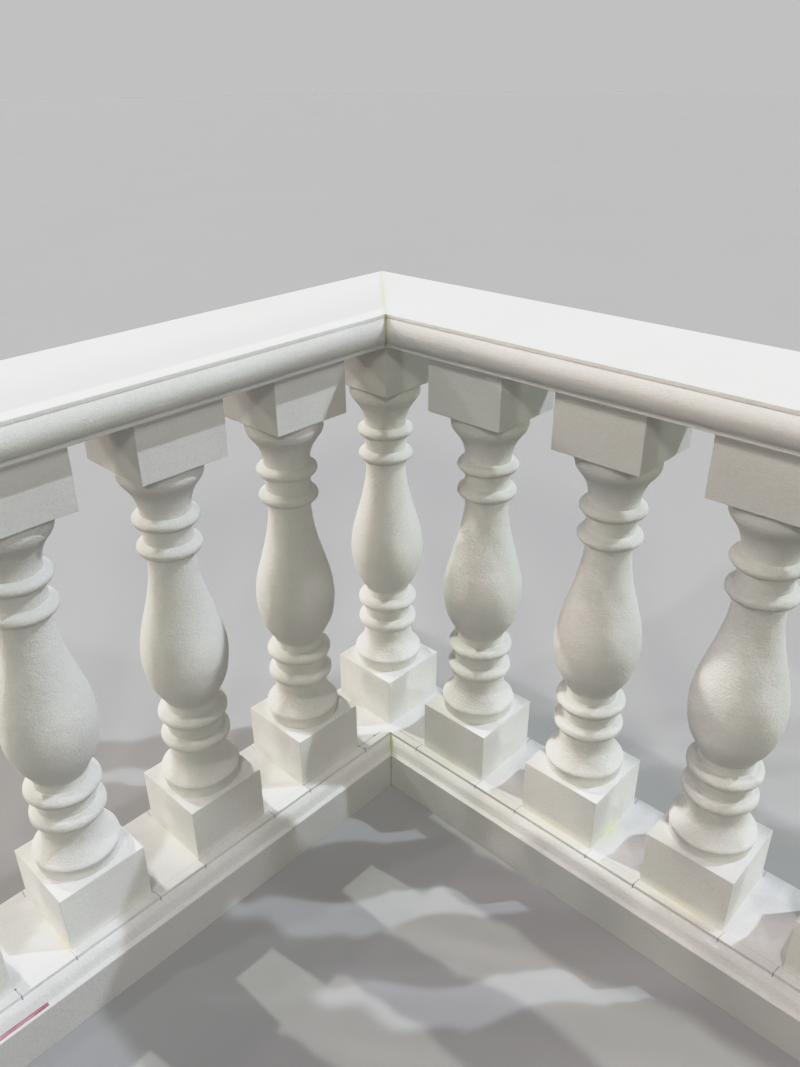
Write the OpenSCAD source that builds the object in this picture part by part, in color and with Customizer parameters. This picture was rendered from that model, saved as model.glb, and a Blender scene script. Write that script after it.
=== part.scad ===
// Inside corner of a balustrade: two runs of turned balusters between a
// moulded base rail and a moulded hand rail, mitred together at a right angle.
// The origin is on the floor under the axis of the corner baluster. One run
// goes along +X, the other along +Y, and the inside of the corner faces +X +Y.

/* [Layout] */
// Distance between neighbouring baluster axes
pitch = 250; // [220:1:300]
// How far the rails run on past the last baluster axis
end_run = 125; // [100:1:160]

/* [Base rail] */
// Height of the base rail
base_h = 116.5; // [110:0.5:140]
// Half width of the flat top that carries the blocks
base_top_half = 93; // [88:0.5:98]
// Half width of the upright faces
base_half = 118.5; // [114:0.5:124]
// Height of the small step beside the flat top
base_step = 7; // [4:0.5:9]
// Height of the upright faces
base_face_h = 83.2; // [78:0.1:86]

/* [Blocks] */
// Side of the square plinth and cap blocks
block_w = 152; // [146:1:160]
// Height of a plinth block
plinth_h = 110; // [95:1:120]
// Height of a cap block
cap_h = 102.5; // [90:0.5:110]

/* [Shaft] */
// Height of a turned shaft
shaft_h = 630; // [624:1:660]
// Largest radius of the vase
vase_r = 73.5; // [71:0.5:75]
// Radius of the lip at the foot
foot_r = 70.5; // [69:0.5:74]
// Radius of the lip at the head
head_r = 67.6; // [66:0.1:72]
// Radius of the two lower rings
low_ring_r = 60.8; // [58:0.1:62]
// Radius of the two upper rings
high_ring_r = 53.6; // [51:0.1:56]

/* [Hand rail] */
// Height of the hand rail
rail_h = 62.5; // [58:0.5:70]
// Half width of its top face
rail_top_half = 115.5; // [112:0.5:118]
// Half width of its underside
rail_under_half = 100; // [96:0.5:104]
// Height of the plain band over each roll
rail_band_h = 6.5; // [5:0.5:8]
// Radius of the rolls
roll_r = 31; // [29:0.5:32]

/* [Hidden] */
bays = 4;
run_end = bays * pitch + end_run;
block_z = base_h;
shaft_z = block_z + plinth_h;
cap_z = shaft_z + shaft_h;
rail_z = cap_z + cap_h;
c_foam = [0.93, 0.93, 0.91];
c_turned = [0.90, 0.90, 0.87];
c_rail = [0.95, 0.95, 0.93];

// ---- curves ----
// smooth curve through knots
function cr(a, b, c, d, t) = 0.5 * (2 * b + (c - a) * t + (2 * a - 5 * b + 4 * c - d) * t * t + (3 * b - a - 3 * c + d) * t * t * t);
function knot(k, i) = k[max(0, min(len(k) - 1, i))];
function through(k, n) = concat([for (i = [0 : len(k) - 2], j = [0 : n - 1]) cr(knot(k, i - 1), knot(k, i), knot(k, i + 1), knot(k, i + 2), j / n)], [k[len(k) - 1]]);
function rev(v) = [for (i = [len(v) - 1 : -1 : 0]) v[i]];

// ---- shaft outline, [radius, height above the plinth block] ----
foot_neck = 49.6;
foot_end = 71;
foot_k = (foot_r - 0.5 - foot_neck) / pow(foot_end - 27, 2);
foot = [for (i = [0 : 12]) let (z = 27 + (foot_end - 27) * i / 12) [foot_neck + foot_k * pow(foot_end - z, 2), z]];
vase = through([[45, 160], [44, 172], [44.2, 180], [51, 192], [58.2, 205], [65.2, 220], [70.3, 240], [vase_r, 269], [72, 295], [67.4, 320], [59.2, 350], [50.8, 380], [44.1, 410], [40.1, 435], [38.5, 456], [39, 470]], 4);
head = through([[41, 540], [41.4, 552], [43.4, 562], [46.6, 572], [50.4, 580], [55, 587], [59.6, 593], [63.4, 598], [66, 603], [head_r, 609]], 3);
core = concat(
    [[0, 0], [foot_r - 3.5, 0], [foot_r - 0.8, 21], [foot_r, 24]],
    foot, [[49.3, 90], [48, 110], [48, 140]],
    vase, [[40.4, 490], [40.4, 520]],
    head, [[head_r - 1.6, shaft_h], [0, shaft_h]]);
// ring: an ellipse round [r, z], r_out at its crest, h half as high
module ring_outline(z, r, r_out, h) {
    polygon([for (i = [0 : 35]) let (a = 10 * i) [r + (r_out - r) * cos(a), z + h * sin(a)]]);
}
module shaft_solid() {
    rotate_extrude($fn = 96) union() {
        polygon(core);
        ring_outline(102.1, 43.6, low_ring_r + 0.1, 14.2);
        ring_outline(151.7, 43.1, low_ring_r - 0.1, 12.8);
        ring_outline(481.1, 32.4, high_ring_r - 0.5, 12.8);
        ring_outline(531, 33, high_ring_r + 0.5, 12.1);
    }
}
module block_solid(h) {
    translate([-block_w / 2, -block_w / 2, 0]) cube([block_w, block_w, h]);
}

// ---- base rail outline: flat top, small step, ogee, upright face ----
ogee_run = base_half - base_top_half;
ogee_drop = base_h - base_step - base_face_h;
// ogee: [share of the run, share of the drop], round above, hollow below, then a narrow ledge
ogee_knots = [[0, 0], [0.17, 0.05], [0.32, 0.145], [0.43, 0.255], [0.51, 0.385], [0.6, 0.6], [0.68, 0.79], [0.715, 0.85], [0.77, 0.885], [0.88, 0.94], [1, 1]];
ogee = [for (p = through(ogee_knots, 4)) [base_top_half + ogee_run * p[0], base_h - base_step - ogee_drop * p[1]]];
base_side = concat([[base_top_half, base_h]], ogee, [[base_half, 0]]);
module base_section() {
    polygon(concat(base_side, rev([for (p = base_side) [-p[0], p[1]]])));
}

// ---- hand rail outline: flat top with a band, a roll each side, flat underside ----
roll_x = rail_top_half - 25.5;
roll_z = rail_z + rail_h - 26;
module rail_section() {
    translate([-rail_under_half, rail_z]) square([2 * rail_under_half, rail_h - 2]);
    translate([-rail_top_half, rail_z + rail_h - rail_band_h]) square([2 * rail_top_half, rail_band_h]);
    // the rolls stop under the band
    intersection() {
        for (s = [-1, 1]) translate([s * roll_x, roll_z]) circle(r = roll_r, $fn = 64);
        translate([-200, rail_z]) square([400, rail_h - rail_band_h]);
    }
}

// ---- a run along +X, cut at 45 degrees through the corner ----
module mitre_half() {
    // keeps the side of the 45 degree plane where x > y
    translate([0, 0, -10]) linear_extrude(height = 1500) polygon([[-400, -400], [3000, 3000], [3000, -400]]);
}
module run_x() {
    intersection() {
        translate([-400, 0, 0]) rotate([90, 0, 90]) linear_extrude(height = 400 + run_end) children();
        mitre_half();
    }
}
module run_y() { mirror([1, -1, 0]) run_x() children(); }

module base_rail_left() { color(c_rail) run_x() base_section(); }
module base_rail_right() { color(c_rail) run_y() base_section(); }
module hand_rail_left() { color(c_rail) run_x() rail_section(); }
module hand_rail_right() { color(c_rail) run_y() rail_section(); }

module plinth(x, y) { color(c_foam) translate([x, y, block_z]) block_solid(plinth_h); }
module shaft(x, y) { color(c_turned) translate([x, y, shaft_z]) shaft_solid(); }
module cap(x, y) { color(c_foam) translate([x, y, cap_z]) block_solid(cap_h); }

module corner_plinth() { plinth(0, 0); }
module corner_shaft() { shaft(0, 0); }
module corner_cap() { cap(0, 0); }
module left1_plinth() { plinth(pitch, 0); }
module left1_shaft() { shaft(pitch, 0); }
module left1_cap() { cap(pitch, 0); }
module left2_plinth() { plinth(2 * pitch, 0); }
module left2_shaft() { shaft(2 * pitch, 0); }
module left2_cap() { cap(2 * pitch, 0); }
module left3_plinth() { plinth(3 * pitch, 0); }
module left3_shaft() { shaft(3 * pitch, 0); }
module left3_cap() { cap(3 * pitch, 0); }
module left4_plinth() { plinth(4 * pitch, 0); }
module left4_shaft() { shaft(4 * pitch, 0); }
module left4_cap() { cap(4 * pitch, 0); }
module right1_plinth() { plinth(0, pitch); }
module right1_shaft() { shaft(0, pitch); }
module right1_cap() { cap(0, pitch); }
module right2_plinth() { plinth(0, 2 * pitch); }
module right2_shaft() { shaft(0, 2 * pitch); }
module right2_cap() { cap(0, 2 * pitch); }
module right3_plinth() { plinth(0, 3 * pitch); }
module right3_shaft() { shaft(0, 3 * pitch); }
module right3_cap() { cap(0, 3 * pitch); }
module right4_plinth() { plinth(0, 4 * pitch); }
module right4_shaft() { shaft(0, 4 * pitch); }
module right4_cap() { cap(0, 4 * pitch); }

base_rail_left();
base_rail_right();
hand_rail_left();
hand_rail_right();
corner_plinth();
corner_shaft();
corner_cap();
left1_plinth();
left1_shaft();
left1_cap();
left2_plinth();
left2_shaft();
left2_cap();
left3_plinth();
left3_shaft();
left3_cap();
left4_plinth();
left4_shaft();
left4_cap();
right1_plinth();
right1_shaft();
right1_cap();
right2_plinth();
right2_shaft();
right2_cap();
right3_plinth();
right3_shaft();
right3_cap();
right4_plinth();
right4_shaft();
right4_cap();
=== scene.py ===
import math
import bpy
import numpy as np
from mathutils import Matrix, Vector


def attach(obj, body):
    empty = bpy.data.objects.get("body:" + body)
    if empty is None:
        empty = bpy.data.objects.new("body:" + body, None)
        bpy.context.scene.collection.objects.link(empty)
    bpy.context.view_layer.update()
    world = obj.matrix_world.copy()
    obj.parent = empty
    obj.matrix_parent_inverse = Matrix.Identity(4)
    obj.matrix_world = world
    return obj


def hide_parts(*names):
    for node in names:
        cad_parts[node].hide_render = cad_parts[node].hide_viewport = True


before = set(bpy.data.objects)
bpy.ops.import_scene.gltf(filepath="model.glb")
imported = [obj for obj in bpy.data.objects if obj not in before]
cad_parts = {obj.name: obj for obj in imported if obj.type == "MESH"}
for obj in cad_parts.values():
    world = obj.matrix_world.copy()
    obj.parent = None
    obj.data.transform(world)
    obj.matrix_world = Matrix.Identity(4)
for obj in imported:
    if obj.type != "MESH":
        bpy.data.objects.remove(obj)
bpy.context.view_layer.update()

# ---------------------------------------------------------------- sizes, metres
MM = 0.001
PITCH = 0.250
RUN_END = 1.125
BASE_H = 0.1165
PLINTH_H = 0.110
SHAFT_H = 0.630
CAP_H = 0.1025
RAIL_H = 0.0625
BLOCK = 0.152
BLOCK_Z = BASE_H
SHAFT_Z = BLOCK_Z + PLINTH_H
CAP_Z = SHAFT_Z + SHAFT_H
RAIL_Z = CAP_Z + CAP_H
BASE_TOP_HALF = 0.093
BASE_HALF = 0.1185
ARRIS_Z = 0.0832
STEP = 0.007


# ---------------------------------------------------------------- camera
def make_camera():
    az, el, roll = math.radians(133.9844), math.radians(27.4970), math.radians(-0.7170)
    look = Vector((-math.sin(az) * math.cos(el), math.cos(az) * math.cos(el), -math.sin(el)))
    right = look.cross(Vector((0, 0, 1))).normalized()
    up = right.cross(look)
    r0 = math.cos(roll) * right + math.sin(roll) * up
    r1 = -math.sin(roll) * right + math.cos(roll) * up
    m = Matrix((r0, r1, -look)).transposed().to_4x4()
    m.translation = Vector((4.6422 * PITCH, 4.4774 * PITCH, 5.1157 * PITCH + BASE_H))
    data = bpy.data.cameras.new("camera")
    data.sensor_fit = "AUTO"
    data.sensor_width = 36.0
    data.lens = 893.15 / 1067 * 36.0
    data.shift_x = 13.6178 / 1067
    data.shift_y = -13.1833 / 1067
    data.clip_start, data.clip_end = 0.05, 100
    data.dof.use_dof = False
    cam = bpy.data.objects.new("camera", data)
    bpy.context.scene.collection.objects.link(cam)
    cam.matrix_world = m
    bpy.context.scene.camera = cam


make_camera()


# ---------------------------------------------------------------- noise on arrays
def _hash(ix, iy, iz, seed):
    h = (ix * 374761393 + iy * 668265263 + iz * 2147483647 + seed * 1274126177) & 0xFFFFFFFF
    h = ((h ^ (h >> 13)) * 1274126177) & 0xFFFFFFFF
    h = h ^ (h >> 16)
    return (h & 0xFFFF) / 32767.5 - 1.0


def vnoise(p, seed=0):
    """Smooth noise from -1 to 1 at the rows of p."""
    p = np.asarray(p, np.float64)
    i = np.floor(p).astype(np.int64)
    f = p - i
    f = f * f * (3 - 2 * f)
    out = 0.0
    for dx in (0, 1):
        wx = f[:, 0] if dx else 1 - f[:, 0]
        for dy in (0, 1):
            wy = f[:, 1] if dy else 1 - f[:, 1]
            for dz in (0, 1):
                wz = f[:, 2] if dz else 1 - f[:, 2]
                out = out + wx * wy * wz * _hash(i[:, 0] + dx, i[:, 1] + dy, i[:, 2] + dz, seed)
    return out


# ---------------------------------------------------------------- outlines
def catmull(knots, n):
    k = np.array(knots, float)
    out = []
    for i in range(len(k) - 1):
        a, b, c, d = k[max(i - 1, 0)], k[i], k[i + 1], k[min(i + 2, len(k) - 1)]
        for j in range(n):
            t = j / n
            out.append(0.5 * (2 * b + (c - a) * t + (2 * a - 5 * b + 4 * c - d) * t * t + (3 * b - a - 3 * c + d) * t ** 3))
    out.append(k[-1])
    return np.array(out)


def round_corners(pts, cuts, n=4):
    """A closed outline with chosen corners rounded; cuts gives how far back each corner is cut."""
    out = []
    m = len(pts)
    for i, b in enumerate(pts):
        c = cuts.get(i, 0)
        if c <= 0:
            out.append(b)
            continue
        a, d = np.array(pts[i - 1]), np.array(pts[(i + 1) % m])
        b = np.array(b)
        la, ld = np.linalg.norm(a - b), np.linalg.norm(d - b)
        pa = b + (a - b) * min(c, la * 0.45) / la
        pd = b + (d - b) * min(c, ld * 0.45) / ld
        for k in range(n + 1):
            t = k / n
            out.append(tuple((1 - t) ** 2 * pa + 2 * t * (1 - t) * b + t * t * pd))
    return out


def densify(pts, step):
    """A closed outline with no side longer than step."""
    out = []
    m = len(pts)
    for i in range(m):
        a, b = np.array(pts[i]), np.array(pts[(i + 1) % m])
        n = max(1, int(math.ceil(np.linalg.norm(b - a) / step)))
        for k in range(n):
            out.append(tuple(a + (b - a) * k / n))
    return out


def outward(pts):
    """Outward unit normals of a closed outline that runs anticlockwise."""
    p = np.array(pts)
    t = np.roll(p, -1, 0) - np.roll(p, 1, 0)
    t /= np.linalg.norm(t, axis=1)[:, None]
    return np.stack([t[:, 1], -t[:, 0]], 1)


OGEE = ((0, 0), (0.17, 0.05), (0.32, 0.145), (0.43, 0.255), (0.51, 0.385), (0.6, 0.6), (0.68, 0.79), (0.715, 0.85), (0.77, 0.885), (0.88, 0.94), (1, 1))


def base_outline():
    side = [(BASE_HALF, 0.0)]
    for u, v in catmull(OGEE, 4)[::-1]:
        side.append((BASE_TOP_HALF + (BASE_HALF - BASE_TOP_HALF) * float(u), BASE_H - STEP - (BASE_H - STEP - ARRIS_Z) * float(v)))
    side.append((BASE_TOP_HALF, BASE_H))
    k = len(side)
    full = side + [(-t, z) for t, z in reversed(side)]
    m = len(full)
    cuts = {0: 1.2 * MM, 1: 1.0 * MM, k - 1: 0.9 * MM, k: 0.9 * MM, m - 2: 1.0 * MM, m - 1: 1.2 * MM}
    return densify(round_corners(full, cuts), 5.5 * MM)


def rail_outline():
    cx, cz, r = 0.090, BASE_H + 0.879, 0.031
    top = BASE_H + 0.905
    band = top - 6.5 * MM
    under = BASE_H + 0.8425
    a0 = -math.acos((0.100 - cx) / r)
    a1 = math.asin((band - cz) / r)
    n = 40
    side = [(0.100, under)]
    for i in range(n + 1):
        a = a0 + (a1 - a0) * i / n
        side.append((cx + r * math.cos(a), cz + r * math.sin(a)))
    side += [(0.1155, band), (0.1155, top)]
    k = len(side)
    full = side + [(-t, z) for t, z in reversed(side)]
    m = len(full)
    cuts = {0: 1.0 * MM, k - 2: 0.6 * MM, k - 1: 0.7 * MM, k: 0.7 * MM, k + 1: 0.6 * MM, m - 1: 1.0 * MM}
    return densify(round_corners(full, cuts), 5.5 * MM)


# ---------------------------------------------------------------- mesh helpers
def new_object(name, verts, faces, marks=None, sharp=40):
    me = bpy.data.meshes.new(name)
    me.from_pydata([tuple(v) for v in np.asarray(verts).tolist()], [], faces)
    me.update()
    me.shade_smooth()
    me.set_sharp_from_angle(angle=math.radians(sharp))
    if marks is not None:
        a = me.attributes.new("marks", "FLOAT_COLOR", "POINT")
        col = np.ones((len(verts), 4), np.float32)
        col[:, :3] = marks
        a.data.foreach_set("color", col.ravel())
    o = bpy.data.objects.new(name, me)
    bpy.context.scene.collection.objects.link(o)
    return o


# Soft stains: (place mm, reach mm, strength). Places are in the row frame.
YELLOW, GREEN, DIRT = 0, 1, 2
STAINS = []


def stain_values(p):
    """Yellow, green and dirt at the rows of p, in metres."""
    q = np.asarray(p) * 1000.0
    out = np.zeros((len(q), 3))
    for kind, c, r, k in STAINS:
        d2 = (((q - np.array(c)) / np.array(r)) ** 2).sum(1)
        out[:, kind] += k * np.exp(-1.4 * d2)
    return np.clip(out, 0, 1)


# ---------------------------------------------------------------- rails
# (distance from the mitre, how far the surface is drawn in there), mm
SEAM_BASE = ((0, 0.8), (0.4, 0.45), (0.9, 0.1), (1.6, 0.0))
SEAM_LEFT = ((0, 0.8), (0.6, 0.55), (1.1, 0.2), (1.6, 0.0))
SEAM_RIGHT = ((0, 0.5), (0.5, 0.25), (1.0, 0.1), (1.6, 0.0))


def sweep(name, outline, left, wobble, seed, seam):
    """A run along +X (left) or +Y, cut on the 45 degree plane at the corner and square at its end."""
    pts = np.array(outline)
    nrm = outward(outline)
    arc = np.concatenate([[0], np.cumsum(np.linalg.norm(np.diff(pts, axis=0), axis=1))])
    rings = []
    for off, inset in seam:
        rings.append(("m", off * MM, inset * MM))
    n = 118
    for i in range(1, n):
        rings.append(("u", i / n, 0.0))
    for off, inset in ((1.6, 0.0), (0.7, 0.0), (0.25, 0.2), (0, 0.55)):
        rings.append(("e", off * MM, inset * MM))
    rows = []
    for kind, v, inset in rings:
        # the joint opens on the sides and stays closed on top and below
        open_here = np.clip((np.abs(nrm[:, 0]) - 0.1) / 0.3, 0.25, 1.0) if kind == "m" else np.ones(len(pts))
        p = pts - nrm * (inset * open_here)[:, None]
        t, z = p[:, 0], p[:, 1]
        if kind == "m":
            s = t + v
        elif kind == "e":
            s = np.full(len(t), RUN_END - v)
        else:
            s = (t + 1.6 * MM) * (1 - v) + (RUN_END - 1.6 * MM) * v
        # wire lines along the run, and a slow wander of the wire
        w = vnoise(np.stack([arc * 330, s * 5, np.full(len(s), 0.3)], 1), seed)
        w += 0.8 * vnoise(np.stack([arc * 70, s * 11, np.full(len(s), 7.3)], 1), seed + 1)
        w += 0.6 * vnoise(np.stack([arc * 12, s * 26, np.full(len(s), 3.1)], 1), seed + 2)
        d = wobble * w
        if kind == "m" and v == 0:
            d = d * 0
        p2 = p + nrm * d[:, None]
        t2, z2 = p2[:, 0], np.maximum(p2[:, 1], 0.0)
        if kind == "m":
            s = np.maximum(s, t2 + v)
        rows.append(np.stack([s, t2, z2], 1) if left else np.stack([t2, s, z2], 1))
    v = np.concatenate(rows)
    m = len(pts)
    faces = []
    for i in range(len(rings) - 1):
        for j in range(m):
            a, b = i * m + j, i * m + (j + 1) % m
            c, d = (i + 1) * m + (j + 1) % m, (i + 1) * m + j
            faces.append((a, d, c, b) if left else (a, b, c, d))
    first, last = list(range(m)), list(range((len(rings) - 1) * m, len(rings) * m))
    faces.append(first if left else first[::-1])
    faces.append(last[::-1] if left else last)
    return new_object(name, v, faces, stain_values(v), 35)


# ---------------------------------------------------------------- blocks
def block(name, cx, cy, z0, h, seed):
    """A square block with slightly worn edges."""
    r_max = 3.4 * MM
    half = np.array([BLOCK / 2, BLOCK / 2, h / 2])
    centre = np.array([cx, cy, z0 + h / 2])

    def ticks(w):
        edge = [0, 0.35, 0.8, 1.4, 2.3, 3.4]
        n = int(round((2 * w / MM - 6.8) / 8))
        mid = np.linspace(-w + r_max, w - r_max, n + 1)[1:-1]
        lo = np.array([-w + e * MM for e in edge])
        return np.concatenate([lo, mid, -lo[::-1]])

    verts, faces = [], []
    base = 0
    for axis in range(3):
        a, b = (axis + 1) % 3, (axis + 2) % 3
        ta, tb = ticks(half[a]), ticks(half[b])
        for sgn in (-1, 1):
            ga, gb = np.meshgrid(ta, tb, indexing="ij")
            p = np.zeros(ga.shape + (3,))
            p[..., axis], p[..., a], p[..., b] = sgn * half[axis], ga, gb
            na, nb = len(ta), len(tb)
            verts.append(p.reshape(-1, 3))
            for i in range(na - 1):
                for j in range(nb - 1):
                    q = [base + i * nb + j, base + (i + 1) * nb + j, base + (i + 1) * nb + j + 1, base + i * nb + j + 1]
                    faces.append(q if sgn > 0 else q[::-1])
            base += na * nb
    v = np.concatenate(verts)
    world = v + centre
    r = 0.75 + 0.45 * vnoise(world * 45, seed) + 0.35 * vnoise(world * 190, seed + 1)
    corner = np.abs(v) - half
    dist = np.sqrt((corner ** 2).sum(1)) / MM
    key = (np.sign(v) > 0).astype(int)
    pick = _hash(key[:, 0], key[:, 1], key[:, 2], seed + 5)
    r = r + np.clip(pick, 0, 1) * 1.9 * np.exp(-(dist / 5.0) ** 2)
    r = np.clip(r, 0.35, 3.3) * MM
    inner = np.clip(v, -(half - r[:, None]), half - r[:, None])
    d = v - inner
    length = np.linalg.norm(d, axis=1)
    scale = np.where(length > 1e-9, r / np.maximum(length, 1e-9), 0)
    v = inner + d * scale[:, None]
    # the wire leaves faces very slightly out of true
    out = v / half
    flat = np.abs(out) > 0.97
    v = v - np.sign(v) * flat * (0.00012 * (1 + vnoise(world * 22, seed + 3)))[:, None]
    v = v + centre
    key = np.round(v / 1e-6).astype(np.int64)
    _, idx, inv = np.unique(key, axis=0, return_index=True, return_inverse=True)
    inv = inv.reshape(-1)
    v = v[idx]
    kept = []
    for f in faces:
        g = [int(inv[k]) for k in f]
        h2 = [g[k] for k in range(4) if g[k] != g[k - 1]]
        if len(h2) >= 3 and len(set(h2)) == len(h2):
            kept.append(h2)
    return new_object(name, v, kept, stain_values(v), 50)


# ---------------------------------------------------------------- shafts
def shaft_radius():
    """Heights and radii of the turned outline, mm, fine enough for every ring."""
    foot = [(49.6 + (70.5 - 0.5 - 49.6) / (71 - 27) ** 2 * (71 - z) ** 2, z) for z in np.linspace(27, 71, 23)]
    vase = catmull([(45, 160), (44, 172), (44.2, 180), (51, 192), (58.2, 205), (65.2, 220), (70.3, 240), (73.5, 269), (72, 295), (67.4, 320), (59.2, 350), (50.8, 380), (44.1, 410), (40.1, 435), (38.5, 456), (39, 470)], 8)
    head = catmull([(41, 540), (41.4, 552), (43.4, 562), (46.6, 572), (50.4, 580), (55, 587), (59.6, 593), (63.4, 598), (66, 603), (67.6, 609)], 8)
    core = [(66.6, 0), (67.0, 0.6), (69.7, 21), (70.35, 22.8), (70.5, 24), (70.4, 25.4)] + foot
    core += [(49.3, 90), (48, 110), (48, 140)] + [tuple(x) for x in vase] + [(40.4, 490), (40.4, 520)]
    core += [tuple(x) for x in head] + [(67.4, 612), (66.2, 629.3), (65.6, 630)]
    core = np.array(core)
    z = np.concatenate([np.arange(0, 630, 0.25), [630.0]])
    r = np.interp(z, core[:, 1], core[:, 0])
    for zc, r0, ro, h in ((102.1, 43.6, 60.9, 14.2), (151.7, 43.1, 60.7, 12.8), (481.1, 32.4, 53.1, 12.8), (531, 33, 54.1, 12.1)):
        u = (z - zc) / h
        ring = np.where(np.abs(u) < 1, r0 + (ro - r0) * np.sqrt(np.clip(1 - u * u, 0, 1)), 0)
        r = np.maximum(r, ring)
    return z, r


def simplify(z, r, tol, longest):
    keep = [0, len(z) - 1]

    def split(a, b):
        if b - a < 2:
            return
        d = np.array([r[b] - r[a], z[b] - z[a]])
        length = np.linalg.norm(d)
        off = np.abs((r[a:b + 1] - r[a]) * d[1] - (z[a:b + 1] - z[a]) * d[0]) / length
        i = int(off.argmax())
        if off[i] > tol:
            i += a
        elif length > longest:
            i = (a + b) // 2
        else:
            return
        keep.append(i)
        split(a, i)
        split(i, b)

    split(0, len(z) - 1)
    keep = sorted(set(keep))
    return z[keep], r[keep]


SHAFT_OUTLINE = simplify(*shaft_radius(), 0.09, 5.0)


def shaft(name, cx, cy, seed):
    z, r = SHAFT_OUTLINE
    n = 112
    ang = np.arange(n) * 2 * math.pi / n
    rows = []
    for zi, ri in zip(z, r):
        rows.append(np.stack([ri * np.cos(ang), ri * np.sin(ang), np.full(n, zi)], 1))
    v = np.concatenate(rows)
    # turned foam: fine steps round the shaft and a slow unevenness
    rad = np.hypot(v[:, 0], v[:, 1])
    q = np.stack([v[:, 0] * 0.012, v[:, 1] * 0.012, v[:, 2] * 0.23], 1)
    d = 0.16 * vnoise(q, seed) + 0.42 * vnoise(v * 0.028, seed + 1) + 0.28 * vnoise(v * 0.062, seed + 3) + 0.13 * vnoise(v * 0.21, seed + 2)
    inside = (v[:, 2] > 0.5) & (v[:, 2] < 629.5)
    k = 1 + np.where(inside, d - 0.1, 0) / rad
    v[:, 0] *= k
    v[:, 1] *= k
    v = v * MM + np.array([cx, cy, SHAFT_Z])
    faces = []
    for i in range(len(z) - 1):
        for j in range(n):
            a, b = i * n + j, i * n + (j + 1) % n
            faces.append((a, b, b + n, a + n))
    faces.append(list(range(n))[::-1])
    faces.append(list(range((len(z) - 1) * n, len(z) * n)))
    return new_object(name, v, faces, stain_values(v), 50)


# ---------------------------------------------------------------- materials
class Nodes:
    """Small helper that wires a material's nodes."""

    def __init__(self, name):
        self.mat = bpy.data.materials.new(name)
        self.mat.use_nodes = True
        self.t = self.mat.node_tree
        self.t.nodes.clear()
        self.out = self.t.nodes.new("ShaderNodeOutputMaterial")
        self.bsdf = self.t.nodes.new("ShaderNodeBsdfPrincipled")
        self.t.links.new(self.bsdf.outputs[0], self.out.inputs[0])
        self.coord = self.t.nodes.new("ShaderNodeTexCoord").outputs["Object"]
        sep = self.t.nodes.new("ShaderNodeSeparateXYZ")
        self.link(self.coord, sep.inputs[0])
        self.x, self.y, self.z = sep.outputs
        face = self.t.nodes.new("ShaderNodeSeparateXYZ")
        self.link(self.t.nodes.new("ShaderNodeNewGeometry").outputs["Normal"], face.inputs[0])
        self.up = face.outputs[2]

    def link(self, a, b):
        self.t.links.new(a, b)

    def put(self, socket, value):
        if isinstance(value, bpy.types.NodeSocket):
            self.link(value, socket)
        else:
            socket.default_value = value

    def math(self, op, a, b=None, c=None, clamp=False):
        n = self.t.nodes.new("ShaderNodeMath")
        n.operation = op
        n.use_clamp = clamp
        for i, v in enumerate((a, b, c)):
            if v is not None:
                self.put(n.inputs[i], v)
        return n.outputs[0]

    def ramp(self, v, lo, hi, a=0.0, b=1.0, smooth=True):
        n = self.t.nodes.new("ShaderNodeMapRange")
        n.interpolation_type = "SMOOTHSTEP" if smooth else "LINEAR"
        n.clamp = True
        self.put(n.inputs[0], v)
        for i, x in enumerate((lo, hi, a, b)):
            n.inputs[i + 1].default_value = x
        return n.outputs[0]

    def scaled(self, sx, sy, sz, move=(0, 0, 0)):
        n = self.t.nodes.new("ShaderNodeMapping")
        self.link(self.coord, n.inputs[0])
        n.inputs["Location"].default_value = move
        n.inputs["Scale"].default_value = (sx, sy, sz)
        return n.outputs[0]

    def noise(self, vec, scale=1.0, detail=3.0, rough=0.55):
        n = self.t.nodes.new("ShaderNodeTexNoise")
        self.link(vec, n.inputs["Vector"])
        n.inputs["Scale"].default_value = scale
        n.inputs["Detail"].default_value = detail
        n.inputs["Roughness"].default_value = rough
        return n.outputs[0]

    def voronoi(self, scale, feature="F1", out="Distance", rnd=1.0):
        n = self.t.nodes.new("ShaderNodeTexVoronoi")
        n.feature = feature
        self.link(self.coord, n.inputs["Vector"])
        n.inputs["Scale"].default_value = scale
        n.inputs["Randomness"].default_value = rnd
        return n.outputs[out]

    def mix(self, fac, a, b, blend="MIX"):
        n = self.t.nodes.new("ShaderNodeMix")
        n.data_type = "RGBA"
        n.blend_type = blend
        self.put(n.inputs[0], fac)
        self.put(n.inputs[6], a)
        self.put(n.inputs[7], b)
        return n.outputs[2]

    def marks(self):
        n = self.t.nodes.new("ShaderNodeAttribute")
        n.attribute_name = "marks"
        s = self.t.nodes.new("ShaderNodeSeparateColor")
        self.link(n.outputs["Color"], s.inputs[0])
        return s.outputs[0], s.outputs[1], s.outputs[2]

    def bump(self, height, distance, strength=1.0, normal=None):
        n = self.t.nodes.new("ShaderNodeBump")
        n.inputs["Strength"].default_value = strength
        n.inputs["Distance"].default_value = distance
        self.link(height, n.inputs["Height"])
        if normal is not None:
            self.link(normal, n.inputs["Normal"])
        return n.outputs[0]


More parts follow.
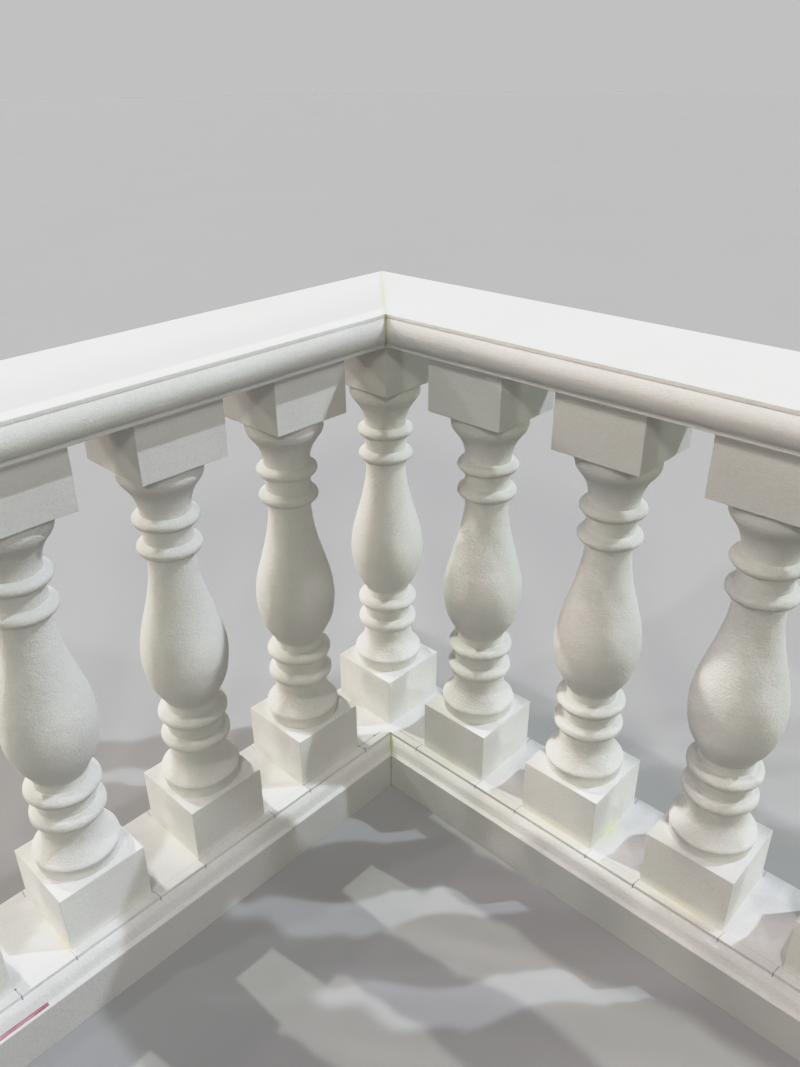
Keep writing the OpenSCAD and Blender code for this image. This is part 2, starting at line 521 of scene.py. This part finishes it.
def foam(name, colour, kind, axis=None, marked=None):
    """Expanded foam: bead pattern, wire or lathe lines, glue, stains, pencil on the base rails, painted shade on the
    base's upright faces, and a painted highlight and painted shade on the left hand rail's top.
    """
    m = Nodes(name)
    rail = kind in ("base", "hand")
    turned = kind == "turned"
    # flat tops are smoother than the mouldings, and the base's upright faces are rougher
    coarse = m.ramp(m.up, 0.90, 0.995, 1.0, 0.50 if kind == "base" else 0.34) if rail else 1.0
    if kind == "base":
        coarse = m.math("MULTIPLY", coarse, m.ramp(m.up, 0.03, 0.20, 1.2, 1.0))
    # beads, 3 to 5 mm
    cell = m.voronoi(265, "F1", "Color")
    cs = m.t.nodes.new("ShaderNodeSeparateColor")
    m.link(cell, cs.inputs[0])
    cell_v = cs.outputs[0]
    edge = m.voronoi(265, "DISTANCE_TO_EDGE")
    gap = m.ramp(edge, 0.0, 0.12, 1.0, 0.0)
    patch = m.noise(m.coord, 21, 2, 0.6)
    gap_here = m.math("MULTIPLY", gap, m.ramp(patch, 0.36, 0.64, 0.2, 1.0))
    fine = m.noise(m.coord, 470, 3, 0.62)
    mid = m.noise(m.coord, 165, 3, 0.6)
    wide = m.noise(m.scaled(1, 1, 1, (3.1, 0.7, 1.9)), 5.5, 3, 0.5)
    if turned:
        lines = m.noise(m.scaled(34, 34, 330), 1.0, 3, 0.6)
    elif axis == "x":
        lines = m.noise(m.scaled(7, 430, 430), 1.0, 3, 0.62)
    elif axis == "y":
        lines = m.noise(m.scaled(430, 7, 430), 1.0, 3, 0.62)
    else:
        lines = m.noise(m.scaled(60, 60, 300), 1.0, 3, 0.6)
    # colour
    r, g, b = colour
    base = m.mix(m.ramp(wide, 0.3, 0.7), (r * 0.975, g * 0.975, b * 0.965, 1), (r * 1.02, g * 1.02, b * 1.02, 1))
    base = m.mix(m.math("MULTIPLY", cell_v, 0.32), base, (r * 0.92, g * 0.925, b * 0.915, 1))
    base = m.mix(m.math("MULTIPLY", gap_here, 0.17), base, (r * 0.62, g * 0.62, b * 0.60, 1))
    base = m.mix(m.ramp(lines, 0.35, 0.75, 0.0, 0.10), base, (r * 0.84, g * 0.84, b * 0.82, 1))
    base = m.mix(m.ramp(mid, 0.60, 0.8, 0.0, 0.14), base, (r * 0.72, g * 0.72, b * 0.69, 1))
    if kind == "base":
        # painted shade: the upright faces are given a darker colour, stronger on the right run, where it also reaches
        # the steep parts of the moulding above the arris
        painted_shade_face = m.math("MULTIPLY", m.ramp(m.up, 0.05, 0.20, 1.0, 0.0), m.ramp(m.z, 0.0828, 0.0840, 1.0, 0.0 if axis == "x" else 0.9))
        base = m.mix(m.math("MULTIPLY", painted_shade_face, 0.38 if axis == "x" else 0.66), base, (r * 0.78, g * 0.78, b * 0.77, 1))
    yellow, green, dirt = m.marks()
    blot = m.noise(m.scaled(1, 1, 1, (0.4, 2.2, 0.9)), 62, 4, 0.62)
    y2 = m.math("MULTIPLY", yellow, m.ramp(blot, 0.32, 0.62, 0.5, 1.0))
    base = m.mix(m.math("MULTIPLY", y2, 0.80), base, (0.80, 0.755, 0.56, 1))
    g2 = m.math("MULTIPLY", green, m.ramp(blot, 0.36, 0.62, 0.35, 1.0))
    base = m.mix(m.math("MULTIPLY", g2, 0.72), base, (0.66, 0.73, 0.38, 1))
    d2 = m.math("MULTIPLY", dirt, m.ramp(mid, 0.35, 0.65, 0.3, 1.0))
    base = m.mix(m.math("MULTIPLY", d2, 0.40), base, (0.36, 0.35, 0.33, 1))
    if kind == "hand" and marked == "left":
        # painted light on the left rail's top: a painted highlight along the inner edge, and painted shade over the
        # zone beside it
        on_top = m.math("GREATER_THAN", m.z, 1.0195)
        painted_highlight = m.math("MULTIPLY", m.ramp(m.y, 0.084, 0.092), on_top)
        painted_shade = m.math("MULTIPLY", m.math("MULTIPLY", m.ramp(m.y, -0.06, 0.065), m.ramp(m.y, 0.083, 0.091, 1.0, 0.0)), on_top)
        # painted shade: the top is darkened more and more towards the inner edge, up to the highlight
        base = m.mix(m.math("MULTIPLY", painted_shade, 0.80), base, (r * 0.79, g * 0.82, b * 0.81, 1))
        # painted highlight: a lighter band along the inner edge of the top
        base = m.mix(m.math("MULTIPLY", painted_highlight, 0.40), base, (0.93, 0.93, 0.92, 1))
    if rail:
        base = mitre(m, base, kind, mid)
    if kind == "base":
        base = bench_marks(m, base, marked, fine, y2)
    m.link(base, m.bsdf.inputs["Base Color"])
    rough = m.ramp(mid, 0.2, 0.8, 0.72, 0.93)
    rough = m.math("SUBTRACT", rough, m.math("MULTIPLY", y2, 0.25))
    m.link(rough, m.bsdf.inputs["Roughness"])
    m.bsdf.inputs["Specular IOR Level"].default_value = 0.32
    m.bsdf.inputs["IOR"].default_value = 1.42
    # relief
    k_cell, k_fine, k_mid, k_lines, tall = RELIEF[kind]
    h = m.math("MULTIPLY", cell_v, k_cell)
    h = m.math("MULTIPLY_ADD", fine, k_fine, h)
    h = m.math("MULTIPLY_ADD", mid, k_mid, h)
    h = m.math("MULTIPLY", h, coarse) if rail else h
    h = m.math("MULTIPLY_ADD", lines, k_lines, h)
    m.link(m.bump(h, tall * MM, 0.9), m.bsdf.inputs["Normal"])
    return m.mat


# how much the beads, fine grit, mottling and wire lines stand out, and the height in mm
RELIEF = {
    "base": (0.60, 2.40, 1.95, 0.60, 0.46),
    "hand": (0.65, 2.40, 1.15, 0.25, 0.42),
    "block": (0.36, 1.50, 1.25, 0.80, 0.42),
    "turned": (0.34, 2.10, 2.20, 1.30, 0.56),
}


def mitre(m, base, kind, mid):
    """Glue squeezed out along the corner mitre, where x = y, and the dark line of the joint."""
    d = m.math("MULTIPLY", m.math("SUBTRACT", m.y, m.x), 0.7071)
    wob = m.ramp(m.noise(m.coord, 42, 3, 0.6), 0.3, 0.7, 0.62, 1.35, False)
    right = m.math("GREATER_THAN", d, 0.0)
    ad = m.math("ABSOLUTE", d)
    q = m.math("DIVIDE", ad, wob)
    if kind == "base":
        zone = m.math("MULTIPLY", m.ramp(m.z, 0.0832, 0.0850), m.ramp(m.z, 0.1105, 0.1125, 1.0, 0.0))
        gr = m.math("MULTIPLY", m.ramp(q, 0.0030, 0.0056, 0.85, 0.0), right)
        gl = m.math("MULTIPLY", m.ramp(q, 0.0052, 0.0100, 0.58, 0.0), m.math("SUBTRACT", 1.0, right))
        base = m.mix(m.math("MULTIPLY", gl, zone), base, (0.74, 0.78, 0.58, 1))
        base = m.mix(m.math("MULTIPLY", gr, zone), base, (0.61, 0.66, 0.38, 1))
        slit = m.math("MULTIPLY", m.ramp(ad, 0.0006, 0.0015, 0.40, 0.0), m.ramp(m.z, 0.1105, 0.1125, 1.0, 0.25))
        slit = m.math("MULTIPLY", slit, m.ramp(m.z, 0.0830, 0.0844, 1.0, 0.35))
        return m.mix(slit, base, (0.34, 0.33, 0.30, 1))
    side = m.ramp(m.z, 1.0190, 1.0204, 1.0, 0.0)
    above = m.math("SUBTRACT", 1.0, side)
    fade = m.ramp(m.z, 0.968, 0.998, 0.25, 1.0)
    gr = m.math("MULTIPLY", m.math("MULTIPLY", m.ramp(q, 0.0030, 0.0075, 0.62, 0.0), right), m.math("MULTIPLY", side, fade))
    gl = m.math("MULTIPLY", m.math("MULTIPLY", m.ramp(q, 0.0020, 0.0055, 0.30, 0.0), m.math("SUBTRACT", 1.0, right)), side)
    # on the top it spreads to the left of the joint
    over = m.math("MULTIPLY", m.math("MULTIPLY", m.ramp(q, 0.0050, 0.0092, 0.56, 0.0), m.math("SUBTRACT", 1.0, right)), above)
    thin = m.math("MULTIPLY", m.math("MULTIPLY", m.ramp(q, 0.0010, 0.0110, 0.34, 0.0), right), above)
    base = m.mix(m.math("ADD", over, thin), base, (0.60, 0.65, 0.46, 1))
    base = m.mix(m.math("ADD", gr, gl), base, (0.72, 0.73, 0.48, 1))
    # the joint gapes at the band and low on the roll, and glue fills it between
    open_here = m.math("MULTIPLY", m.ramp(m.z, 0.982, 0.990), m.ramp(m.z, 1.006, 1.013, 1.0, 0.0))
    open_here = m.math("SUBTRACT", 0.40, m.math("MULTIPLY", open_here, 0.26))
    off = m.math("ABSOLUTE", m.math("ADD", d, 0.0005))
    slit = m.math("MULTIPLY", m.ramp(off, 0.0004, 0.0016, 1.0, 0.0), m.math("MULTIPLY", side, m.ramp(mid, 0.3, 0.5, 0.5, 1.0)))
    line = m.math("MULTIPLY", m.ramp(ad, 0.0002, 0.0009, 0.14, 0.0), above)
    return m.mix(m.math("MULTIPLY_ADD", slit, open_here, line), base, (0.26, 0.25, 0.20, 1))


# where each pencil tick crosses the step, mm from the corner along the run
TICKS = {
    "left": (60.0, 169.0, 323.8, 415.2, 575.7, 669.8, 828.0, 921.1, 1077.0),
    "right": (60.0, 167.9, 324.4, 420.9, 577.1, 672.6, 827.9, 918.3, 1075.0),
}


def bench_marks(m, base, side, soft, y2):
    """Pencil layout lines, ticks and dots, the glue line round the blocks' feet, a crayon line and a scuff."""
    lead = (0.20, 0.18, 0.27, 1)
    left = side == "left"
    s, t = (m.x, m.y) if left else (m.y, m.x)
    at = m.math("ABSOLUTE", t)
    patchy = m.ramp(soft, 0.30, 0.60, 0.40, 1.0)
    ph = m.math("FRACT", m.math("MULTIPLY_ADD", s, 4.0, 0.5))
    away = m.math("MULTIPLY", m.math("ABSOLUTE", m.math("SUBTRACT", ph, 0.5)), 0.25)
    on_top = m.math("GREATER_THAN", m.z, 0.1158)
    # glue in the corner between the base and the blocks
    foot = m.math("SUBTRACT", m.math("MAXIMUM", away, at), 0.076)
    glue = m.math("MULTIPLY", m.ramp(foot, 0.0006, 0.0055, 1.0, 0.0), m.math("MULTIPLY", on_top, m.ramp(y2, 0.05, 0.60, 0.03, 0.55)))
    base = m.mix(glue, base, (0.79, 0.745, 0.50, 1))
    # one tick in each 125 mm of the run
    look = m.t.nodes.new("ShaderNodeValToRGB")
    look.color_ramp.interpolation = "CONSTANT"
    m.link(m.math("MULTIPLY", s, 1 / 1.125), look.inputs[0])
    e = look.color_ramp.elements
    for i, mm in enumerate(TICKS[side]):
        x = e[i] if i < 2 else e.new(i / 9)
        x.position = i / 9
        x.color = (mm / 1125, mm / 1125, mm / 1125, 1)
    skew = m.math("MULTIPLY", m.math("SUBTRACT", at, 0.085), 0.12)
    gone = m.math("ABSOLUTE", m.math("SUBTRACT", m.math("SUBTRACT", m.math("MULTIPLY", look.outputs[0], 1.125), s), skew))
    tick = m.ramp(gone, 0.0005, 0.0013, 1.0, 0.0)
    here = m.math("MULTIPLY", m.ramp(at, 0.0745, 0.0765), m.ramp(at, 0.0945, 0.0962, 1.0, 0.0))
    here = m.math("MULTIPLY", here, m.math("GREATER_THAN", s, 0.125))
    here = m.math("MULTIPLY", here, m.ramp(m.z, 0.1150, 0.1162, 0.95, 0.55))
    here = m.math("MULTIPLY", here, m.math("GREATER_THAN", m.z, 0.1035))
    base = m.mix(m.math("MULTIPLY", m.math("MULTIPLY", tick, here), patchy), base, lead)
    # the long line under the blocks' faces
    wander = m.math("MULTIPLY", m.math("SUBTRACT", m.noise(m.scaled(1, 1, 0), 4.0, 1, 0.5), 0.5), 0.0016)
    off = m.math("ABSOLUTE", m.math("SUBTRACT", m.math("ADD", t, wander), 0.0766))
    run = m.ramp(off, 0.0003, 0.0009, 1.0, 0.0)
    near = m.ramp(s, 0.166, 0.176, 0.95, 0.24) if left else m.ramp(s, 0.128, 0.180, 0.9, 0.24)
    near = m.math("MULTIPLY", near, m.ramp(s, 0.098, 0.106))
    base = m.mix(m.math("MULTIPLY", m.math("MULTIPLY", run, near), m.math("MULTIPLY", on_top, patchy)), base, lead)
    # pencil dots
    flat = m.t.nodes.new("ShaderNodeCombineXYZ")
    m.link(s, flat.inputs[0])
    m.link(t, flat.inputs[1])
    for ds, dt, r in (((170.6, 75.8, 2.1), (167.6, 90.2, 2.2), (125.0, 76.6, 2.2), (921.5, 76.6, 1.8)) if left else ((167.9, 90.0, 1.4), (672.6, 91.5, 1.5))):
        n = m.t.nodes.new("ShaderNodeVectorMath")
        n.operation = "DISTANCE"
        m.link(flat.outputs[0], n.inputs[0])
        n.inputs[1].default_value = (ds * MM, dt * MM, 0)
        dot = m.ramp(n.outputs["Value"], 0.6 * r * MM, 1.15 * r * MM, 0.92, 0.0)
        base = m.mix(m.math("MULTIPLY", dot, on_top), base, (0.12, 0.09, 0.19, 1))
    if left:
        # red crayon along the ledge, dark where it starts
        wave = m.math("MULTIPLY", m.math("SUBTRACT", m.noise(m.scaled(1, 0, 0), 9.0, 2, 0.5), 0.5), 0.0016)
        c = m.math("ABSOLUTE", m.math("SUBTRACT", m.math("ADD", t, wave), 0.1128))
        streak = m.noise(m.scaled(55, 900, 900), 1.0, 3, 0.7)
        band = m.math("MULTIPLY", m.ramp(c, 0.0019, 0.0027, 1.0, 0.0), m.ramp(m.z, 0.0835, 0.0842))
        start = m.ramp(s, 0.9060, 0.9240, 1.0, 0.0)
        body = m.math("MULTIPLY", m.ramp(streak, 0.36, 0.58, 0.50, 1.0), m.ramp(s, 1.03, 1.06, 1.0, 0.0))
        band = m.math("MULTIPLY", m.math("MULTIPLY", band, m.ramp(s, 0.8905, 0.8925)), body)
        rim = m.ramp(c, 0.0008, 0.0018, 0.0, 0.5)
        tone = m.mix(m.math("MAXIMUM", start, rim), (0.50, 0.19, 0.26, 1), (0.34, 0.05, 0.10, 1))
        base = m.mix(m.math("MULTIPLY", band, 0.92), base, tone)
    else:
        # a faint curved scuff on the upright face
        u = m.math("MULTIPLY_ADD", s, 1 / 0.046, -0.712 / 0.046)
        arc = m.math("MULTIPLY_ADD", m.math("MULTIPLY", u, u), -0.013, 0.0705)
        c = m.math("ABSOLUTE", m.math("SUBTRACT", m.z, arc))
        part = m.math("MULTIPLY", m.ramp(u, 0.0, 0.1), m.ramp(u, 0.85, 1.0, 1.0, 0.0))
        part = m.math("MULTIPLY", part, m.math("GREATER_THAN", t, 0.1))
        base = m.mix(m.math("MULTIPLY", m.math("MULTIPLY", m.ramp(c, 0.0004, 0.0016, 0.34, 0.0), part), patchy), base, (0.25, 0.24, 0.22, 1))
    return base


FOAM_BASE = (0.80, 0.80, 0.785)
FOAM_RAIL = (0.81, 0.81, 0.797)
FOAM_BLOCK = (0.82, 0.82, 0.80)
FOAM_TURNED = (0.80, 0.80, 0.775)


# ---------------------------------------------------------------- build
def build():
    # faint glue stains round the feet of the plinths
    zt = BASE_H * 1000
    for k in range(0, 5):
        for left in ((True, False) if k else (True,)):
            cx, cy = (k * 250, 0) if left else (0, k * 250)
            for i, (dx, dy) in enumerate(((78, 0), (0, 78), (-78, 0), (0, -78))):
                for j in (-1, 0, 1):
                    px = cx + dx + (j * 52 if dy else 0)
                    py = cy + dy + (j * 52 if dx else 0)
                    a = _hash(np.array([px]), np.array([py]), np.array([i]), 11)[0]
                    r = (8 if dx else 34, 8 if dy else 34, 7)
                    STAINS.append((YELLOW, (px, py, zt), r, 0.06 + 0.16 * max(0, a)))
    # places where the photograph shows more of it
    STAINS.extend([
        (YELLOW, (79, 250, zt), (9, 62, 9), 0.22),
        (YELLOW, (82, 500, zt), (13, 70, 15), 0.46),
        (YELLOW, (80, 572, zt), (12, 18, 9), 0.35),
        (YELLOW, (82, 750, zt), (13, 76, 15), 0.48),
        (YELLOW, (328, 10, zt), (8, 60, 7), 0.20),
        (YELLOW, (578, 10, zt), (8, 60, 7), 0.24),
        (YELLOW, (828, 0, zt), (8, 66, 8), 0.26),
        (YELLOW, (831, 60, zt), (11, 22, 9), 0.80),
        (GREEN, (20, 577, zt + 6), (32, 12, 18), 1.0),
        (GREEN, (60, 577, zt + 34), (8, 6, 16), 0.30),
        (GREEN, (700, 77, zt + 14), (26, 7, 14), 0.42),
    ])
    mats = {
        "base_l": foam("base_foam_left", FOAM_BASE, "base", "x", "left"),
        "base_r": foam("base_foam_right", FOAM_BASE, "base", "y", "right"),
        "rail_l": foam("rail_foam_left", FOAM_RAIL, "hand", "x", "left"),
        "rail_r": foam("rail_foam_right", FOAM_RAIL, "hand", "y", "right"),
        "block": foam("block_foam", FOAM_BLOCK, "block"),
        "turned": foam("turned_foam", FOAM_TURNED, "turned"),
    }

    def dress(o, mat, node):
        o.data.materials.append(mats[mat])
        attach(o, "root")
        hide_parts(node)

    bo, ro = base_outline(), rail_outline()
    dress(sweep("foam_base_left", bo, True, 0.09 * MM, 21, SEAM_BASE), "base_l", "base_rail_left")
    dress(sweep("foam_base_right", bo, False, 0.09 * MM, 22, SEAM_BASE), "base_r", "base_rail_right")
    dress(sweep("foam_hand_rail_left", ro, True, 0.06 * MM, 23, SEAM_LEFT), "rail_l", "hand_rail_left")
    dress(sweep("foam_hand_rail_right", ro, False, 0.06 * MM, 24, SEAM_RIGHT), "rail_r", "hand_rail_right")
    names = [("corner", 0, 0)]
    names += [("left%d" % k, k * PITCH, 0) for k in range(1, 5)]
    names += [("right%d" % k, 0, k * PITCH) for k in range(1, 5)]
    for i, (n, x, y) in enumerate(names):
        dress(block("foam_%s_plinth" % n, x, y, BLOCK_Z, PLINTH_H, 40 + i), "block", n + "_plinth")
        dress(shaft("foam_%s_shaft" % n, x, y, 60 + i), "turned", n + "_shaft")
        dress(block("foam_%s_cap" % n, x, y, CAP_Z, CAP_H, 80 + i), "block", n + "_cap")


build()


# ---------------------------------------------------------------- floor and light
def floor():
    """A plain pale floor."""
    n = 64
    rings = (0.0, 3.0, 9.0, 20.0, 40.5)
    v, f = [(0.4, 0.4, 0.0)], []
    for r in rings[1:]:
        for j in range(n):
            a = 2 * math.pi * j / n
            v.append((0.4 + r * math.cos(a), 0.4 + r * math.sin(a), 0.0))
    for j in range(n):
        f.append((0, 1 + j, 1 + (j + 1) % n))
    for i in range(len(rings) - 2):
        for j in range(n):
            a, b = 1 + i * n + j, 1 + i * n + (j + 1) % n
            f.append((a, a + n, b + n, b))
    me = bpy.data.meshes.new("studio_floor")
    me.from_pydata(v, [], f)
    o = bpy.data.objects.new("studio_floor", me)
    bpy.context.scene.collection.objects.link(o)
    m = Nodes("studio_floor")
    tone = m.noise(m.scaled(1, 1, 1), 0.9, 2, 0.5)
    m.link(m.mix(m.ramp(tone, 0.3, 0.7), FLOOR + (1,), tuple(c * 1.012 for c in FLOOR) + (1,)), m.bsdf.inputs["Base Color"])
    m.bsdf.inputs["Roughness"].default_value = 0.95
    m.bsdf.inputs["Specular IOR Level"].default_value = 0.1
    me.materials.append(m.mat)
    o.visible_diffuse = False


def sun(name, to_lamp, strength, colour, angle):
    d = bpy.data.lights.new(name, "SUN")
    d.energy = strength
    d.color = colour
    d.angle = math.radians(angle)
    o = bpy.data.objects.new(name, d)
    bpy.context.scene.collection.objects.link(o)
    o.location = Vector(to_lamp) * 3
    o.rotation_mode = "QUATERNION"
    o.rotation_quaternion = Vector(to_lamp).to_track_quat("Z", "Y")


# direction to the lamp, strength, colour, angle across the lamp in degrees
LAMPS = (
    ((-0.692, 0.581, 1.0), 1.30, (0.90, 0.99, 1.11), 1.2),
    ((0.189, -1.250, 1.0), 1.50, (1.02, 1.04, 0.94), 1.5),
    ((1.469, -2.193, 1.0), 0.40, (1.15, 0.965, 0.885), 2.0),
    ((0.980, -1.030, 1.0), 0.31, (0.99, 0.98, 1.03), 2.0),
    ((1.120, -0.350, 1.0), 0.36, (1.00, 0.98, 1.02), 1.2),
    ((0.236, 0.137, 1.0), 0.54, (1.00, 0.96, 1.04), 2.0),
    ((0.176, -0.243, 1.0), 0.155, (1.30, 0.80, 0.95), 2.0),
    ((1.200, 1.200, 1.0), 0.47, (1.06, 1.07, 0.87), 6.0),
    ((9.945, -8.475, 1.0), 0.32, (1.15, 0.96, 0.89), 6.0),
    ((-8.998, 8.487, 1.0), 0.37, (0.965, 1.12, 0.915), 6.0),
    ((-0.700, 1.530, 1.0), 0.43, (0.94, 0.95, 1.11), 3.0),
)
PALE = (0.532, 0.532, 0.532)
FLOOR = (0.406, 0.408, 0.406)


def lights():
    """Lamps overhead and to each side, and a low soft band of light all round."""
    w = bpy.data.worlds.new("studio")
    bpy.context.scene.world = w
    w.use_nodes = True
    t = w.node_tree
    bg = t.nodes["Background"]
    co = t.nodes.new("ShaderNodeTexCoord")
    sep = t.nodes.new("ShaderNodeSeparateXYZ")
    t.links.new(co.outputs["Generated"], sep.inputs[0])
    mr = t.nodes.new("ShaderNodeMapRange")
    t.links.new(sep.outputs[2], mr.inputs[0])
    mr.inputs[1].default_value, mr.inputs[2].default_value = -1.0, 1.0
    ramp = t.nodes.new("ShaderNodeValToRGB")
    t.links.new(mr.outputs[0], ramp.inputs[0])
    e = ramp.color_ramp.elements
    e[0].position, e[0].color = 0.0, (0.02, 0.02, 0.018, 1)
    e[1].position, e[1].color = 1.0, (0.03, 0.03, 0.03, 1)
    for pos, col in ((0.497, (0.03, 0.029, 0.026, 1)), (0.502, (0.57, 0.525, 0.465, 1)), (0.596, (0.57, 0.525, 0.465, 1)), (0.625, (0.04, 0.04, 0.04, 1))):
        x = e.new(pos)
        x.color = col
    t.links.new(ramp.outputs[0], bg.inputs[0])
    bg.inputs[1].default_value = 2.0
    for i, (to_lamp, strength, colour, angle) in enumerate(LAMPS):
        sun("lamp_%d" % i, to_lamp, strength, colour, angle)


def backdrop():
    """A plain dome the colour of the floor, which only the camera sees."""
    n, m, r = 96, 14, 40.0
    v, f = [], []
    for i in range(m + 1):
        a = -0.03 + (math.pi / 2 - 0.02 + 0.03) * i / m
        for j in range(n):
            b = 2 * math.pi * j / n
            v.append((0.4 + r * math.cos(a) * math.cos(b), 0.4 + r * math.cos(a) * math.sin(b), r * math.sin(a)))
    for i in range(m):
        for j in range(n):
            a, b = i * n + j, i * n + (j + 1) % n
            f.append((a, a + n, b + n, b))
    f.append(tuple(range(m * n, (m + 1) * n)))
    me = bpy.data.meshes.new("studio_backdrop")
    me.from_pydata(v, [], f)
    o = bpy.data.objects.new("studio_backdrop", me)
    bpy.context.scene.collection.objects.link(o)
    mat = bpy.data.materials.new("studio_backdrop")
    mat.use_nodes = True
    t = mat.node_tree
    t.nodes.clear()
    out = t.nodes.new("ShaderNodeOutputMaterial")
    em = t.nodes.new("ShaderNodeEmission")
    em.inputs[0].default_value = PALE + (1,)
    t.links.new(em.outputs[0], out.inputs[0])
    me.materials.append(mat)
    o.visible_diffuse = o.visible_glossy = o.visible_transmission = o.visible_shadow = False


backdrop()
floor()
lights()
sc = bpy.context.scene
sc.view_settings.view_transform = "Standard"
sc.view_settings.look = "None"
# a soft shoulder, as film and phone cameras have: whites near the top are held back
sc.view_settings.use_curve_mapping = True
tone = sc.view_settings.curve_mapping
tone.extend = "EXTRAPOLATED"
curve = tone.curves[3]
curve.points[0].location = (0.0, 0.0)
curve.points[1].location = (1.0, 0.852)
for x, y in ((0.14, 0.14), (0.25, 0.236), (0.36, 0.337), (0.51, 0.510), (0.66, 0.668), (0.79, 0.772), (0.90, 0.822)):
    curve.points.new(x, y)
tone.update()
